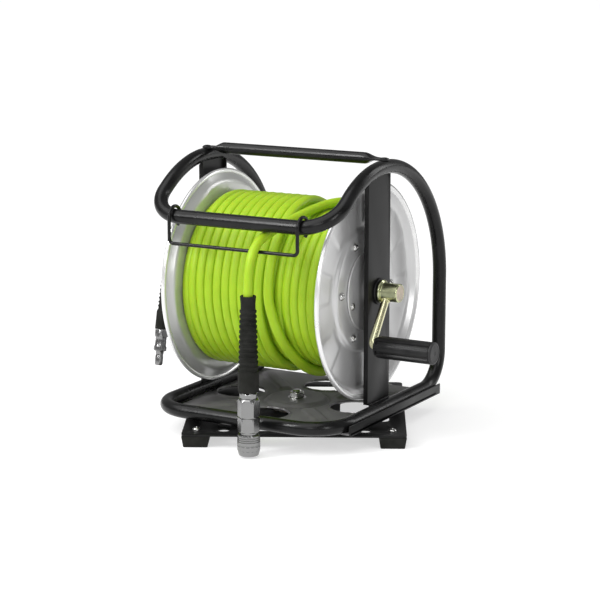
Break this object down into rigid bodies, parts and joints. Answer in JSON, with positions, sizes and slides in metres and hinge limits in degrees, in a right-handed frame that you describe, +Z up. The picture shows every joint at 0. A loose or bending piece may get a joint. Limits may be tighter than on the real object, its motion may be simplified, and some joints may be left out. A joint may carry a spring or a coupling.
{
  "type": "hose reel",
  "caption": "Crank-wound hose reel in a bent-tube carrying frame that swivels on a square foot plate, with a loose hose end, sleeve and coupler.",
  "frame": {"origin": "centre of the footprint of the reel's bounding box, on the ground under the rubber feet, measured without the loose hose ends", "axes": "+X along the drum axis towards the crank, -Y towards the front where the hose leaves, +Z up"},
  "size_m": [0.3658, 0.3424, 0.3193],
  "materials": {
    "black_enamel": "gloss black stove enamel on steel",
    "silver_paint": "smooth silver-grey coating on pressed steel",
    "lime_hose": "soft satin lime green polymer",
    "yellow_zinc": "yellow passivated zinc plate",
    "bright_zinc": "bright zinc plate",
    "black_rubber": "matt black rubber",
    "black_plastic": "satin black moulded plastic",
    "white_nylon": "natural nylon"
  },
  "bodies": {
    "base": {"base_plate": "black_enamel", "rubber_foot_1": "black_rubber", "rubber_foot_2": "black_rubber", "rubber_foot_3": "black_rubber", "rubber_foot_4": "black_rubber", "foot_screw_1": "bright_zinc", "foot_screw_2": "bright_zinc", "foot_screw_3": "bright_zinc", "foot_screw_4": "bright_zinc", "swivel_bolt": "bright_zinc", "glide_ring": "white_nylon", "swivel_washer": "bright_zinc", "swivel_nut": "bright_zinc"},
    "frame": {"frame_tube": "black_enamel", "pan": "black_enamel", "upright_left": "black_enamel", "upright_right": "black_enamel", "bush_left": "black_plastic", "bush_right": "black_plastic", "handle_bar": "black_enamel", "handle_bolt_1": "black_enamel", "handle_bolt_2": "black_enamel", "hose_lead": "lime_hose", "hose_sleeve": "black_rubber", "coupler_body": "bright_zinc"},
    "drum": {"flange_left": "silver_paint", "flange_right": "silver_paint", "hub_left": "silver_paint", "hub_right": "silver_paint", "hub_rivet_left_1": "bright_zinc", "hub_rivet_left_2": "bright_zinc", "hub_rivet_left_3": "bright_zinc", "hub_rivet_right_1": "bright_zinc", "hub_rivet_right_2": "bright_zinc", "hub_rivet_right_3": "bright_zinc", "drum_core": "silver_paint", "tie_bolt_1": "bright_zinc", "tie_bolt_2": "bright_zinc", "tie_bolt_3": "bright_zinc", "tie_bolt_4": "bright_zinc", "tie_bolt_5": "bright_zinc", "tie_bolt_6": "bright_zinc", "drum_shaft": "bright_zinc", "hose_winding": "lime_hose", "crank_hub": "yellow_zinc", "crank_arm": "yellow_zinc"},
    "grip": {"crank_grip": "black_plastic", "grip_cap": "black_plastic"},
    "bail": {"wire_bail": "black_enamel"},
    "inlet": {"inlet_elbow": "bright_zinc", "inlet_nut": "bright_zinc", "inlet_lead": "lime_hose", "inlet_sleeve": "black_rubber", "inlet_plug": "bright_zinc"},
    "slider": {"coupler_slider": "bright_zinc"}
  },
  "joints": [
    {"name": "turntable_swivel", "type": "hinge", "parent": "base", "child": "frame", "pos_m": [-0.01587, 0, 0.0155], "axis": [0, 0, 1], "range_deg": [-15, 50]},
    {"name": "drum_spin", "type": "hinge", "parent": "frame", "child": "drum", "pos_m": [-0.01587, -0.008, 0.1645], "axis": [1, 0, 0], "continuous": true},
    {"name": "grip_spin", "type": "hinge", "parent": "drum", "child": "grip", "pos_m": [0.14413, -0.046, 0.1105], "axis": [1, 0, 0], "continuous": true},
    {"name": "bail_swing", "type": "hinge", "parent": "frame", "child": "bail", "pos_m": [-0.01587, -0.13, 0.251], "axis": [1, 0, 0], "range_deg": [0, 50]},
    {"name": "inlet_swivel", "type": "hinge", "parent": "frame", "child": "inlet", "pos_m": [-0.14087, -0.008, 0.1645], "axis": [1, 0, 0], "range_deg": [-25, 25]},
    {"name": "coupler_release", "type": "slide", "parent": "frame", "child": "slider", "axis": [0, 0, 1], "range_m": [0, 0.002], "stiffness_N_per_m": 1500, "springref_m": -0.003}
  ]
}
